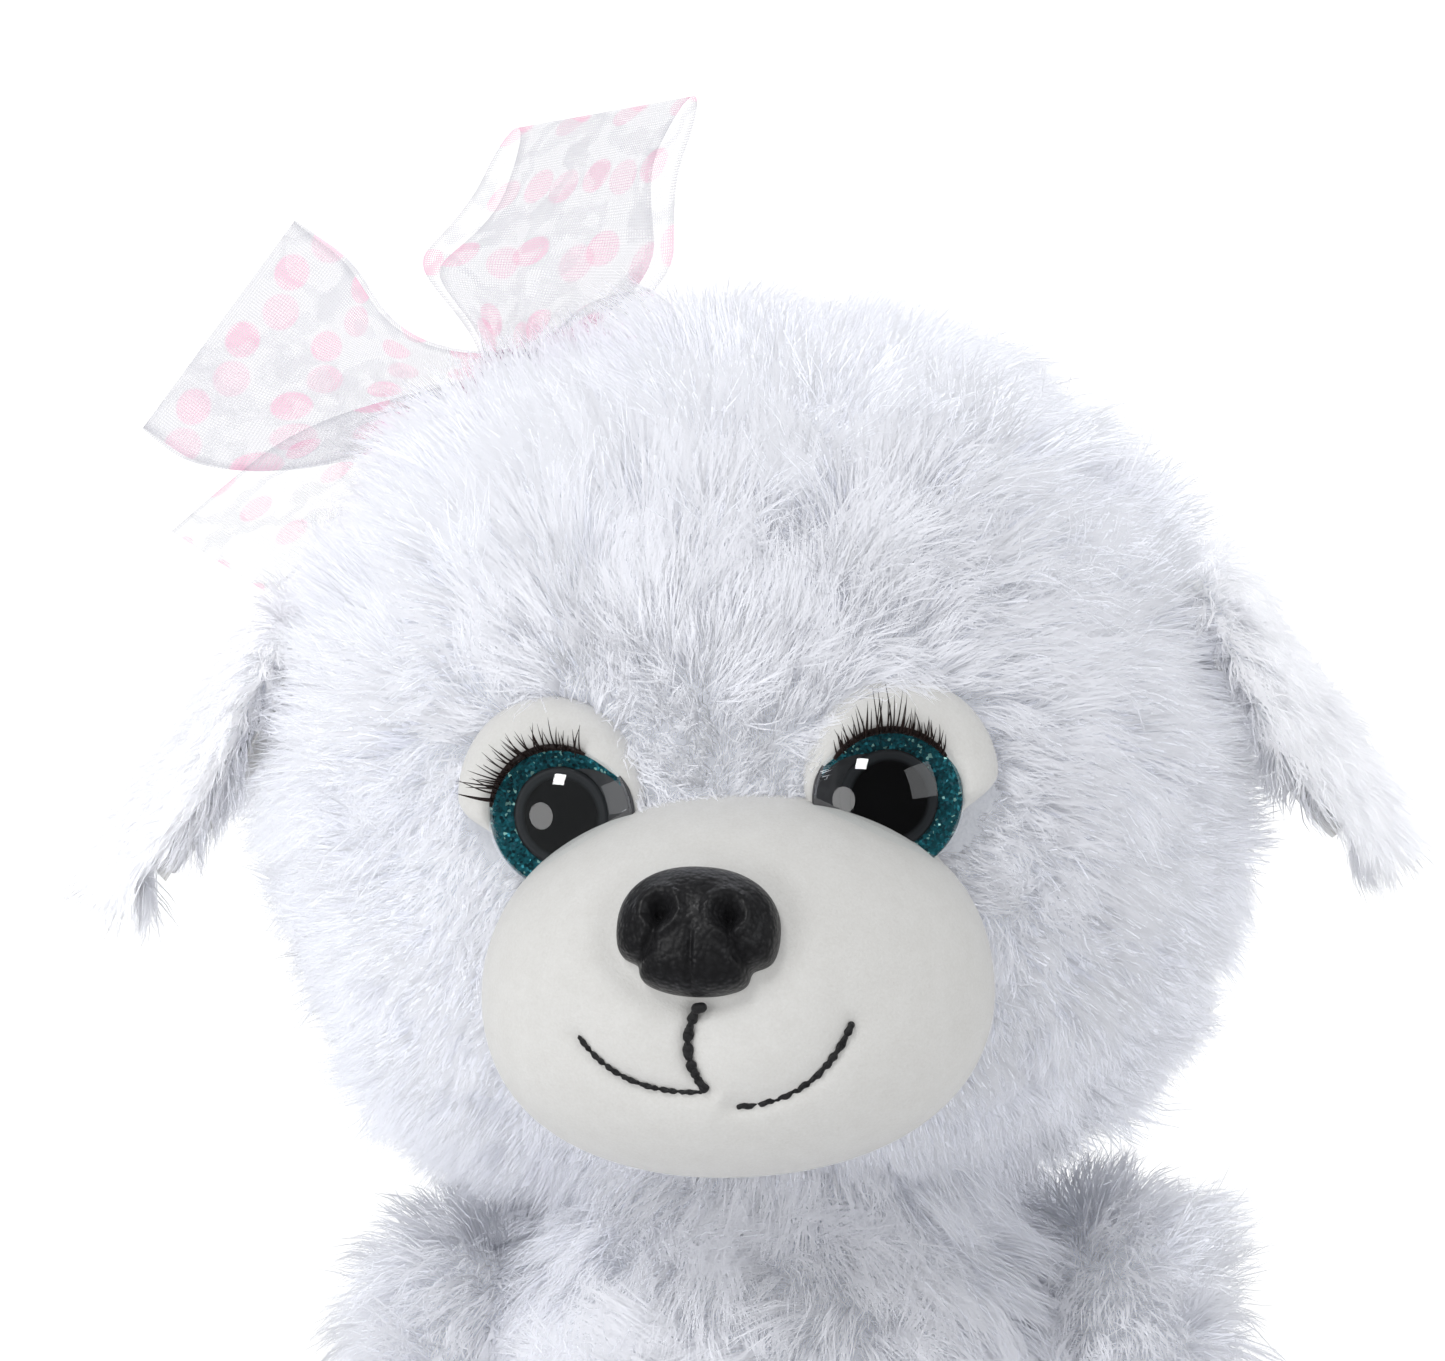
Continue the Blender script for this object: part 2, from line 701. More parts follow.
# The muzzle: an ellipsoid of power 2.15, dented by its stitches and a little uneven
def muzzleShell():
    rows, around = 130, 190
    tilt = np.linspace(0.01, math.pi - 0.01, rows)[:, None]
    turn = np.linspace(0, 2 * math.pi, around, endpoint=False)[None]
    way = np.stack(
        [np.sin(tilt) * np.cos(turn), -np.cos(tilt) + 0 * turn, np.sin(tilt) * np.sin(turn)], -1
    )
    half = muzzleShape["half"]
    wide = np.abs(way[..., 0]) / (half[0] * (1 - 0.06 * way[..., 2]))
    power = muzzleShape["power"]
    rest = np.abs(way[..., 1:] / half[1:]) ** power
    radius = wide**power + rest[..., 0] + rest[..., 1]
    points = muzzleShape["centre"] + way * (radius ** (-1 / power))[..., None]
    flat = points.reshape(-1, 3)
    dent = muzzleDent(flat[:, 0], flat[:, 2]) * ease(-flat[:, 1], 55, 66)
    dent -= 0.35 * wander(flat, 22, 8)
    flat = flat + np.array([0, 1.0, 0]) * dent[:, None]
    return closedShell(flat.reshape(rows, around, 3))


muzzle = addPiece("muzzle", *muzzleShell(), velour, "head", "ivory_velour", ["muzzle_cover"])


# A round thread along a path: its radius swells and dips stitch by stitch, and two plies twist
def threadTube(path, radius, stitch, around=14):
    steps = len(path)
    ways = unit(np.gradient(path, axis=0))
    side = unit(np.cross(ways, [0, 1.0, 0.02]))
    up = np.cross(side, ways)
    travel = np.concatenate([[0], np.cumsum(np.linalg.norm(np.diff(path, axis=0), axis=1))])
    swell = 1 - 0.42 * np.abs(np.cos(math.pi * travel / stitch)) ** 14
    ends = np.sqrt(np.clip(np.minimum(travel, travel[-1] - travel) / radius, 0.0004, 1))
    turn = np.linspace(0, 2 * math.pi, around, endpoint=False)
    plies = 1 + 0.2 * np.cos(2 * (turn[None] - 2 * math.pi * travel[:, None] / (radius * 7)))
    size = radius * (swell * ends)[:, None] * plies
    rings = path[:, None] + size[..., None] * (
        np.cos(turn)[None, :, None] * side[:, None] + np.sin(turn)[None, :, None] * up[:, None]
    )
    return closedShell(rings)


# Three threads laid on the muzzle's front, with a small knot at the top
def mouthThreads():
    shells = []
    for line, radius in mouthLines.values():
        places = np.linspace(0, len(line) - 1, 260)
        fine = np.stack([np.interp(places, np.arange(len(line)), line[:, k]) for k in (0, 1)], -1)
        x, z = fine[:, 0], fine[:, 1]
        y = muzzleFront(x, z) + muzzleDent(x, z) - radius * 0.9
        y += 0.25 * np.abs(np.cos(math.pi * np.linspace(0, 7, 260))) ** 8
        shells.append(threadTube(np.stack([x, y, z], -1), radius, 2.7))
    knotAt = np.array([-2.7, 0, 156.9])
    knotAt[1] = muzzleFront(knotAt[0], knotAt[2]) + 0.2
    shells.append(limbShell(knotAt - [0.3, 0, 0], 0.75, knotAt + [0.35, 0, 0.1], 0.7, 16, 16))
    return together(*shells)


blackThread = grained(
    "blackThread", (0.010, 0.010, 0.011, 1), (0.035, 0.035, 0.037, 1),
    scale=3500, rough=0.55, bump=0.5,
)
addPiece("mouthStitches", *mouthThreads(), blackThread, "head", "black_thread", ["mouth_stitching"])


# Rings from the nose's middle to its notched rim, then in behind it
def noseShell():
    rings, around = 70, 200
    theta = np.linspace(0, 2 * math.pi, around, endpoint=False)
    wide, tall = noseShape["half"]
    rim = (np.abs(np.cos(theta) / wide) ** 2.25 + np.abs(np.sin(theta) / tall) ** 2.25) ** (-1 / 2.25)
    for notch in (213, 327):
        gap = (theta - math.radians(notch)) / 0.15
        rim = rim * (1 - 0.12 * np.exp(-(gap**2)))
    share = np.linspace(0.004, 1, rings)[:, None]
    x, y = share * rim * np.cos(theta), share * rim * np.sin(theta)
    height = noseShape["depth"] * (1 - share**2.5) ** 0.58 * (1 + 0.05 * y / tall)
    for side in sides.values():
        pit = np.hypot(x - side * 4.5, (y - 1.5) * 0.95)
        height = height - 2.6 * np.exp(-((pit / 1.35) ** 2)) + 0.5 * np.exp(-(((pit - 2.7) / 0.8) ** 2))
        groove = bentLine((side * 4.6, 0.8), (side * 4.9, -2.6), (side * 7.0, -4.6), 24)
        flat = np.stack([x.ravel(), y.ravel()], -1)
        cut = 1.15 * np.exp(-((besideLine(flat, groove) / 0.6) ** 2))
        height = height - cut.reshape(x.shape) * (1 - share**6)
    centre = np.exp(-((x / 0.42) ** 2)) * ease(-y, -0.5, 3.0)
    height = height - 0.6 * centre * (1 - share**8)
    rows = [np.stack([x, y, height], -1)]
    for shrink, sink in ((1.0, -1.2), (0.9, -2.4), (0.4, -3.0), (0.02, -3.0)):
        edge = np.stack([shrink * x[-1], shrink * y[-1], np.full(around, sink)], -1)
        rows.append(edge[None])
    local = np.concatenate(rows)
    across, up, out = facing([-0.04, -0.93, 0.36])
    c, s = math.cos(noseShape["turn"]), math.sin(noseShape["turn"])
    across, up = across * c + up * s, up * c - across * s
    points = noseShape["centre"] + local @ np.stack([across, up, out])
    return closedShell(points)


# Black plastic with a fine leather grain, by rounded cells over a soft noise
def noseFinish():
    material, tree = newMaterial("noseGrain")
    place = objectPlace(tree)
    sockets = {"Vector": place, "Scale": 1500.0, "Smoothness": 0.6}
    cells = addNode(tree, "TexVoronoi", {"feature": "SMOOTH_F1"}, sockets).outputs["Distance"]
    soft = noise(tree, place, 900.0)
    height = maths(tree, "ADD", maths(tree, "MULTIPLY", cells, -0.8), maths(tree, "MULTIPLY", soft, 0.6))
    colour = mixColour(tree, cells, (0.020, 0.020, 0.022, 1), (0.008, 0.008, 0.009, 1))
    sockets = {
        "Base Color": colour,
        "Roughness": ramp(tree, soft, 0.3, 0.7, 0.34, 0.5),
        "Specular IOR Level": 0.55,
        "Normal": bumped(tree, height, 0.55, 0.0003),
    }
    output(tree, principled(tree, sockets))
    return material


addPiece("noseTip", *noseShell(), noseFinish(), "head", "nose_plastic", ["nose"])


# A profile of (radius, height) turned round an eye's axis
def eyeTurned(sideName, profile, around=96):
    seat, normal = eyePlaces[sideName]
    across, up, out = facing(normal)
    turn = np.linspace(0, 2 * math.pi, around, endpoint=False)
    circle = np.cos(turn)[:, None] * across + np.sin(turn)[:, None] * up
    profile = np.asarray(profile, float)
    rows = seat + profile[:, 0, None, None] * circle[None] + profile[:, 1, None, None] * out
    return closedShell(rows)


eyeShape = {"radius": 10.0, "rim": 2.2, "dome": 4.9}


# The dome's height over the rim at a distance from the eye's axis
def domeHeight(away):
    radius = (eyeShape["radius"] ** 2 + eyeShape["dome"] ** 2) / (2 * eyeShape["dome"])
    return eyeShape["rim"] + np.sqrt(radius**2 - away**2) - radius + eyeShape["dome"]


# Teal foil: cells that each tilt their own way, a few of them bright
def irisFinish():
    material, tree = newMaterial("irisGlitter")
    place = objectPlace(tree)
    cells = addNode(tree, "TexVoronoi", None, {"Vector": place, "Scale": 2900.0})
    chance = addNode(tree, "SeparateColor", None, {0: cells.outputs["Color"]})
    deep = mixColour(tree, chance.outputs[0], (0.004, 0.055, 0.075, 1), (0.02, 0.26, 0.32, 1))
    spark = maths(tree, "GREATER_THAN", chance.outputs[1], 0.955)
    colour = mixColour(tree, spark, deep, (0.55, 1.0, 0.93, 1))
    settings = {"operation": "MULTIPLY_ADD"}
    sockets = {0: cells.outputs["Color"], 1: (0.9,) * 3, 2: (-0.45,) * 3}
    tilt = addNode(tree, "VectorMath", settings, sockets)
    flat = addNode(tree, "NewGeometry").outputs["Normal"]
    summed = addNode(tree, "VectorMath", {"operation": "ADD"}, {0: flat, 1: tilt.outputs[0]})
    normal = addNode(tree, "VectorMath", {"operation": "NORMALIZE"}, {0: summed.outputs[0]})
    sockets = {
        "Base Color": colour,
        "Metallic": 0.65,
        "Roughness": 0.28,
        "Normal": normal.outputs[0],
    }
    output(tree, principled(tree, sockets))
    return material


# Black, with a dark grey ring that starts at the ring attribute's 0.8
def pupilFinish():
    material, tree = newMaterial("pupilBlack")
    away = addNode(tree, "Attribute", {"attribute_name": "away"}).outputs["Fac"]
    ring = ramp(tree, away, 0.76, 0.84)
    patch = noise(tree, objectPlace(tree), 260.0)
    colour = mixColour(tree, ring, (0.002, 0.002, 0.0025, 1), (0.028, 0.030, 0.033, 1))
    rough = ramp(tree, patch, 0.3, 0.7, 0.16, 0.24)
    sockets = {"Base Color": colour, "Roughness": rough, "Specular IOR Level": 0.15}
    output(tree, principled(tree, sockets))
    return material


# Clear plastic: see-through, with a mirror that grows towards the edge
def lensFinish():
    material, tree = newMaterial("clearDome")
    patch = noise(tree, objectPlace(tree), 120.0)
    colour = mixColour(tree, patch, (0.93, 0.95, 0.96, 1), (0.97, 0.98, 0.98, 1))
    through = addNode(tree, "BsdfTransparent", None, {"Color": colour}).outputs[0]
    mirror = addNode(tree, "BsdfGlossy", None, {"Color": (1, 1, 1, 1), "Roughness": 0.03}).outputs[0]
    inside = addNode(tree, "NewGeometry").outputs["Backfacing"]
    share = addNode(tree, "Fresnel", None, {"IOR": 1.9}).outputs[0]
    front = maths(tree, "MULTIPLY", share, maths(tree, "SUBTRACT", 1.0, inside))
    output(tree, addNode(tree, "MixShader", None, {0: front, 1: through, 2: mirror}).outputs[0])
    return material


# Dark brown fibre, a little lighter in patches
lashFinish = grained(
    "lashFibre", (0.008, 0.004, 0.004, 1), (0.030, 0.013, 0.010, 1),
    scale=900, rough=0.4, bump=0.2,
)
irisFoil, pupilBlack, clearDome = irisFinish(), pupilFinish(), lensFinish()

# Where each lash strip starts and ends, in degrees round its eye from across, and how it leans
lashSets = {
    "right": {
        "low": 66, "high": 166, "count": 44, "length": 3.3, "gather": 0.0, "seed": 21, "sweep": 0.5,
    },
    "left": {
        "low": 38, "high": 136, "count": 50, "length": 3.0, "gather": 0.85, "seed": 22, "sweep": 0.0,
    },
}


# Curved tapering fibres of three sides from the dome's upper edge, gathered into points
def lashShells(sideName, shape):
    random = np.random.default_rng(shape["seed"])
    seat, normal = eyePlaces[sideName]
    across, up, out = facing(normal)
    count, steps = shape["count"], 10
    share = (np.arange(count) + random.uniform(-0.9, 0.9, count)) / count
    angle = np.radians(shape["low"] + (shape["high"] - shape["low"]) * share)
    peak = math.radians(92)
    aim = angle + (peak - angle) * shape["gather"] * random.uniform(0.6, 1.2, count)
    aim = aim + shape["sweep"] * 0.35 + random.normal(size=count) * 0.17
    radial = np.cos(angle)[:, None] * across + np.sin(angle)[:, None] * up
    lean = np.cos(aim)[:, None] * across + np.sin(aim)[:, None] * up
    rootAway = random.uniform(8.9, 9.6, count)
    root = seat + radial * rootAway[:, None] + out * (domeHeight(rootAway) + 0.05)[:, None]
    length = shape["length"] * random.uniform(0.55, 1.2, count)
    length = length * (1 + 1.3 * shape["gather"] * np.exp(-(((angle - peak) / 0.3) ** 2)))
    length = length * (1 + 0.5 * shape["sweep"] * ease(angle, 1.6, 2.8))
    t = np.linspace(0, 1, steps)[:, None, None]
    start = unit(radial * 0.35 + out * 1.0)
    path = root + length[None, :, None] * (
        start * (t - 0.55 * t**2) + (lean * 0.95 + out * 0.05) * (0.95 * t**2)
    )
    ways = unit(np.gradient(path, axis=0))
    side = unit(np.cross(ways, out))
    other = np.cross(ways, side)
    shells = []
    turn = np.arange(4) * math.pi / 2
    size = 0.15 * (1 - t[:, 0, 0]) ** 0.7 + 0.012
    for k in range(count):
        ring = np.cos(turn)[:, None] * side[:, None, k] + np.sin(turn)[:, None] * other[:, None, k]
        shells.append(closedShell(path[:, None, k] + size[:, None, None] * ring))
    band = np.radians(np.linspace(shape["low"] - 4, shape["high"] + 4, 50))
    track = np.cos(band)[:, None] * across + np.sin(band)[:, None] * up
    strip = seat + track * 9.35 + out * (domeHeight(9.35) + 0.1)
    turn = np.linspace(0, 2 * math.pi, 8, endpoint=False)
    ring = np.cos(turn)[None, :, None] * track[:, None] * 0.5 + np.sin(turn)[None, :, None] * out * 0.22
    thin = np.sin(np.linspace(0.05, math.pi - 0.05, 50)) ** 0.3
    shells.append(closedShell(strip[:, None] + ring * thin[:, None, None]))
    return together(*shells)


# The lid: a padded crescent that hoods the eye's upper edge and lies down to the skin
def lidShell(sideName):
    seat, normal = eyePlaces[sideName]
    across, up, out = facing(normal)
    theta = np.linspace(0, 2 * math.pi, 150, endpoint=False)
    shift = np.array([sides[sideName] * lidShape["out"], lidShape["up"]])
    reach = np.hypot(*shift)
    turn = theta - math.atan2(shift[1], shift[0])
    edge = reach * np.cos(turn) + np.sqrt(lidShape["radius"] ** 2 - (reach * np.sin(turn)) ** 2)
    edge = 10.0 + np.maximum(edge - 10.0, 0) * ease(np.sin(theta), -0.3, 0.15) + 0.25
    t = np.array([0, 0.06, 0.16, 0.3, 0.45, 0.6, 0.75, 0.88, 0.96, 1, 1, 0.5, 0])[:, None]
    lift = np.array([-0.3, 0.75, 1.35, 1.5, 1.35, 1.0, 0.45, -0.3, -1.2, -2.2, -3.6, -4, -2.5])[:, None]
    inner = 9.8 - 1.0 * ease(np.sin(theta), 0.1, 0.9)
    radius = inner + (edge - inner) * t
    full = ease(edge - inner, 0.2, 5)
    height = eyeShape["rim"] - radius**2 / 112 + lift * (0.25 + 0.75 * full) - 1.2 * (1 - full)
    flat = np.cos(theta)[:, None] * across + np.sin(theta)[:, None] * up
    points = seat + radius[..., None] * flat[None] + height[..., None] * out
    points = np.concatenate([points, points[:1]])
    count, around = points.shape[:2]
    faces = gridFaces(count, around, True)
    keep = (count - 1) * around
    faces = np.where(faces >= keep, faces - keep, faces)
    return outward(points[:-1].reshape(-1, 3), [faces])


# Each eye is turned from profiles of (radius, height): the dome, the foil and the black centre
def makeEyes():
    domeAway = np.linspace(0.02, 10, 40)
    dome = list(zip(domeAway, domeHeight(domeAway))) + [(10.05, 1.9), (9.9, 1.4), (0.02, 1.95)]
    iris = [(0.02, 0.95), (6.4, 1.0), (9.5, 1.75), (9.85, 1.7), (9.85, 0.95), (0.02, 0.9)]
    pupilAway = np.concatenate([np.linspace(0.02, 6.3, 24), [6.6, 6.62, 0.02]])
    pupilHigh = np.concatenate([np.full(24, 1.62), [1.5, 1.2, 1.15]])
    for sideName in sides:
        name = sideName.capitalize()

        def ends(node):
            return [node + "_" + sideName]

        foil = eyeTurned(sideName, iris)
        addPiece("iris" + name, *foil, irisFoil, "head", "iris_foil", ends("eye_iris"))
        pupil = addPiece(
            "pupil" + name, *eyeTurned(sideName, list(zip(pupilAway, pupilHigh))), pupilBlack,
            "head", "pupil_black", ends("eye_pupil"),
        )
        away = np.concatenate([np.repeat(pupilAway, 96), [0, 0]]) / 6.6
        addAttribute(pupil, "away", away)
        lens = eyeTurned(sideName, dome)
        addPiece("lens" + name, *lens, clearDome, "head", "eye_dome", ends("eye_lens"))
        lashes = lashShells(sideName, lashSets[sideName])
        addPiece("lashes" + name, *lashes, lashFinish, "head", "lash_fibre", ends("eyelashes"))
        pad = lidShell(sideName)
        lid = addPiece("lid" + name, *pad, velour, "head", "ivory_velour", ends("eyelid"))


makeEyes()
print("face done")


earShape = {
    "length": 43.0,
    "droop": {"left": 61.0, "right": 54.0},
    "hinge": np.array([62.2, 0.0, 202.0]),
}


# A point of the ear: t runs from root to tip, turn goes round the flap's cross-section
def earRings(sideName, wide, thick, shift, start, end, rows=40, around=56):
    side = sides[sideName]
    angle = math.radians(earShape["droop"][sideName])
    way = np.array([side * math.cos(angle), 0, -math.sin(angle)])
    out = np.array([side * math.sin(angle), 0, math.cos(angle)])
    t = np.linspace(start, end, rows)
    half = throughKnots([11.0, 14.0, 16.0, 16.8, 16.4, 14.6, 10.5, 0.4], t) * wide
    deep = throughKnots([2.6, 3.2, 3.0, 2.7, 2.4, 2.0, 1.4, 0.2], t) * thick
    turn = np.linspace(0, 2 * math.pi, around, endpoint=False)
    hinge = earShape["hinge"] * [side, 1, 1]
    lift = 3.0 * t**2 - 1.0 * t + shift
    spine = hinge + (t * earShape["length"])[:, None] * way + lift[:, None] * out
    across = (half[:, None] * np.cos(turn))[..., None] * np.array([0, 1.0, 0])
    over = deep[:, None] * np.sin(turn) - 2.2 * np.cos(turn) ** 2 * ease(t, 0.1, 0.6)[:, None]
    return spine[:, None] + across + over[..., None] * out, way, out


earFinish = furFinish("earPlush", (0.90, 0.91, 0.96, 1), (0.96, 0.965, 1.0, 1), 0.85)


# Each ear is a padded flap with a lining, held by a thread, with pile over its outside
def makeEars():
    for sideName, side in sides.items():
        name = sideName.capitalize()
        body = "ear_" + sideName
        rings, way, out = earRings(sideName, 1.0, 1.0, 0.0, 0.0, 1.0)
        surface = closedShell(rings)
        covers = ["ear_outer_" + sideName]
        skin = addPiece("earSkin" + name, *surface, backing, body, "white_plush", covers)
        inner, _, _ = earRings(sideName, 0.86, 0.3, -2.9, 0.06, 0.93)
        lining = addPiece(
            "earLining" + name, *closedShell(inner), velour, body,
            "ivory_velour", ["ear_lining_" + sideName],
        )
        hinge = earShape["hinge"] * [side, 1, 1]
        ends = [limbShell(hinge - [0, 15.5, 0], 0.6, hinge + [0, 15.5, 0], 0.6, 20, 12)]
        for back in (-1, 1):
            held = hinge + [0, 14.6 * back, 0]
            ends.append(limbShell(held, 1.1, held - [side * 5.0, 0, 0.6], 1.1, 20, 12))
        addPiece(
            "earSeam" + name, *together(*ends), paleThread, "head",
            "sewing_thread", ["ear_seam_" + sideName],
        )

        def density(points):
            away = points - hinge
            t = away @ way / earShape["length"]
            middle = 3.0 * t**2 - 1.0 * t - 2.2 * (away[:, 1] / 16) ** 2 * ease(t, 0.1, 0.6)
            return ((away @ out) > middle - 1.0) * (0.7 + 0.9 * t)

        def flow(points, normals):
            away = points - hinge
            t = np.clip(away @ way / earShape["length"], 0, 1)[:, None]
            spread = away[:, 1:2] / 16 * np.array([0, 0.8, 0])
            swirl = np.stack([wander(points, 26, k) for k in (31, 32, 33)], -1)
            return way + spread + out * 0.25 * t + swirl * 0.35

        def lengths(points):
            t = np.clip((points - hinge) @ way / earShape["length"], 0, 1)
            return 0.85 + 0.45 * t**2

        settings = {
            **headFur,
            "seed": 31 + side,
            "count": 24000,
            "density": density,
            "lengths": lengths,
            "length": 8.4,
            "longest": 1.2,
            "tuft": 110,
            "lock": 20,
            "lean": 0.28,
            "rise": 0.5,
            "fall": 1.25,
            "droop": 0.3,
            "pull": 0.5,
            "share": asOne,
            "parts": ("",),
        }
        growFur("earFur" + name, surface, flow, settings, body, "white_plush", earFinish)


makeEars()


bodyShape = {"top": 121.0, "arm": 11.0, "paw": 11.5, "thigh": 17.0, "ankle": 13.2}
shoulder, paw = np.array([44.0, -4.0, 104.0]), np.array([54.0, -42.7, 59.5])
hip = np.array([50 * math.sin(math.radians(57)), -50 * math.cos(math.radians(57)), 20.0])
legWay = np.array([math.sin(math.radians(22)), -math.cos(math.radians(22)), 0])
ankle = hip + legWay * 46 + [0, 0, -4]
toe = ankle + legWay + [0, 0, 12]
tailRoot = np.array([0, 46.0, 36.0])
tailWay = np.array([0, math.cos(math.radians(52)), math.sin(math.radians(52))])
tailTip = tailRoot + tailWay * 34


# The torso's radius at a height: a pear, narrowing to the neck
def torsoRadius(z):
    knots = [33.0, 42.5, 45.5, 46.7, 47.0, 46.6, 45.5, 43.8, 41.5, 38.5, 33.5, 25.0]
    return throughKnots(knots, z / bodyShape["top"])


# The torso: circles of the pear's radius, pushed in and out a little by a slow wander
def torsoShell():
    rows, around = 90, 130
    z = np.linspace(0, bodyShape["top"], rows)
    turn = np.linspace(0, 2 * math.pi, around, endpoint=False)
    radius = torsoRadius(z)[:, None] * np.ones(around)
    height = np.broadcast_to(z[:, None] + floorGap, radius.shape)
    rings = np.stack([radius * np.cos(turn), radius * np.sin(turn), height], -1)
    flat = rings.reshape(-1, 3)
    push = wander(flat, 50, 12) * 0.8 * ease(flat[:, 2], 5, 30)
    flat[:, :2] += unit(flat[:, :2]) * push[:, None]
    return closedShell(flat.reshape(rows, around, 3))


# Away from the limbs' roots, the neck's socket and the seat's underside
def torsoDensity(points):
    clear = (points[:, 2] > 2.0) * 1.0
    for side in sides.values():
        flip = np.array([side, 1, 1])
        clear *= overCapsule(points, shoulder * flip, 12, paw * flip, 12) > -1
        clear *= overCapsule(points, hip * flip, 17, ankle * flip, 14) > -1
    clear *= overCapsule(points, tailRoot, 7, tailTip, 9) > -1
    clear *= (np.hypot(points[:, 0], points[:, 1]) > 20) | (points[:, 2] < 100)
    return clear * (1 + 0.5 * ease(points[:, 2], 70, 100) * ease(-points[:, 1], -10, 20))


# Down, a little outward, and turned by a slow swirl
def bodyFlow(points, normals):
    swirl = np.stack([wander(points, 46, k) for k in (41, 42, 43)], -1)
    return np.array([0, 0, -1.0]) + normals * 0.2 + swirl * 0.75


torsoFur = {
    **headFur,
    "seed": 41,
    "count": 92000,
    "density": torsoDensity,
    "lengths": everywhere,
    "length": 14.0,
    "lean": 0.6,
    "fall": 1.2,
}
torsoBase = torsoShell()
torsoSkin = addPiece(
    "torsoSkin", *torsoBase, backing, "torso", "white_plush",
    ["torso_base_panel", "torso_front_panel", "torso_back_panel"],
)
growFur("torsoFur", torsoBase, bodyFlow, torsoFur, "torso", "white_plush", plushFinish)

neckBase = limbShell(neckCentre - [0, 0, 1], 26.5, neckCentre + [0, 0, 1], 26.5, 60, 80)
neckSkin = addPiece("neckSkin", *neckBase, backing, "neck", "white_plush", ["neck_cover"])


# Roots only in the ring of the neck that shows between head and torso
def neckDensity(points):
    return ((points[:, 2] > 112) & (points[:, 2] < 138)) * 1.0


neckFur = {
    **headFur,
    "seed": 43,
    "count": 12000,
    "density": neckDensity,
    "lengths": everywhere,
    "length": 13.0,
    "fall": 0.9,
    "share": asOne,
    "parts": ("",),
}
growFur("neckFur", neckBase, bodyFlow, neckFur, "neck", "white_plush", plushFinish)


# Fur that runs along a limb, with a coat sized to it
def furLimb(name, surface, start, end, body, count, seed, density=everywhere, length=12.5):
    way = unit(end - start)

    def flow(points, normals):
        swirl = np.stack([wander(points, 34, seed + k) for k in range(3)], -1)
        return way + swirl * 0.6

    settings = {
        **headFur,
        "seed": seed,
        "count": count,
        "density": density,
        "lengths": everywhere,
        "length": length,
        "lean": 0.5,
        "share": asOne,
        "parts": ("",),
    }
    growFur(name, surface, flow, settings, body, "white_plush", plushFinish)


# Each arm is a capsule from shoulder to paw, with a thinner coat where it meets the torso
def makeArms():
    for sideName, side in sides.items():
        flip = np.array([side, 1, 1])
        start, end = shoulder * flip, paw * flip
        surface = limbShell(start, bodyShape["arm"], end, bodyShape["paw"])
        name, body = sideName.capitalize(), "arm_" + sideName
        covers = ["arm_cover_" + sideName]
        skin = addPiece("armSkin" + name, *surface, backing, body, "white_plush", covers)

        def density(points):
            inside = np.hypot(points[:, 0], points[:, 1]) < torsoRadius(points[:, 2]) - 2
            return 1 - inside * 0.85

        furLimb("armFur" + name, surface, start, end, body, 21000, 51 + side, density)


# Each leg is two capsules, thigh and foot, cut flat at the sole
def makeLegs():
    for sideName, side in sides.items():
        flip = np.array([side, 1, 1])
        start, middle, end, way = hip * flip, ankle * flip, toe * flip, legWay * flip
        thigh = limbShell(start, bodyShape["thigh"], middle, bodyShape["ankle"])
        foot = limbShell(middle, bodyShape["ankle"], end, 12.2)
        points, faces = together(thigh, foot)
        face = end + way * 11.0
        past = np.maximum((points - face) @ way + 1.2, 0)
        points = points - past[:, None] * way
        name, body = sideName.capitalize(), "leg_" + sideName
        covers = ["leg_cover_" + sideName]
        skin = addPiece("legSkin" + name, points, faces, backing, body, "white_plush", covers)

        def density(places):
            inThigh = overCapsule(places, start, bodyShape["thigh"], middle, bodyShape["ankle"]) < -0.6
            inFoot = overCapsule(places, middle, bodyShape["ankle"], end, 12.2) < -0.6
            inside = np.hypot(places[:, 0], places[:, 1]) < torsoRadius(places[:, 2]) - 2
            onSole = (places - face) @ way > -2.4
            return (1 - inside * 0.85) * ~(inThigh | inFoot | onSole)

        furLimb("legFur" + name, (points, faces), start, middle, body, 21000, 57 + side, density)
        makeSole(sideName, (middle + end) / 2 * [1, 1, 0] + [0, 0, 21.0], way, face)


# The sole: a soft oval pad, domed and tucked in at its edge
def makeSole(sideName, middle, way, face):
    middle = middle + way * ((face - middle) @ way)
    across, up, out = facing(way)
    theta = np.linspace(0, 2 * math.pi, 90, endpoint=False)
    share = np.array([0.01, 0.2, 0.4, 0.6, 0.75, 0.87, 0.95, 1.0, 1.0, 0.9, 0.5, 0.01])
    lift = np.array([2.4, 2.35, 2.15, 1.8, 1.3, 0.75, 0.25, -0.5, -1.4, -2.0, -2.0, -2.0])
    flat = 11.2 * np.cos(theta)[:, None] * across + 16.6 * np.sin(theta)[:, None] * up
    rows = middle + share[:, None, None] * flat[None] + lift[:, None, None] * out
    sole = addPiece(
        "sole" + sideName.capitalize(), *closedShell(rows), velour, "leg_" + sideName,
        "ivory_velour", ["foot_sole_" + sideName],
    )


# The tail is one capsule with pile along it
def makeTail():
    surface = limbShell(tailRoot, 5.2, tailTip, 8.0)
    skin = addPiece("tailSkin", *surface, backing, "tail", "white_plush", ["tail_cover"])
    furLimb("tailFur", surface, tailRoot, tailTip, "tail", 12000, 71)


makeArms()
makeLegs()
makeTail()
print("body done")


# Sheer weave, in millimetres of cloth: how far apart the dots and threads are, and how much each covers
organzaShape = {"gap": 11.0, "dotRim": (2.7, 2.3), "threads": 16.0, "span": 120.0}


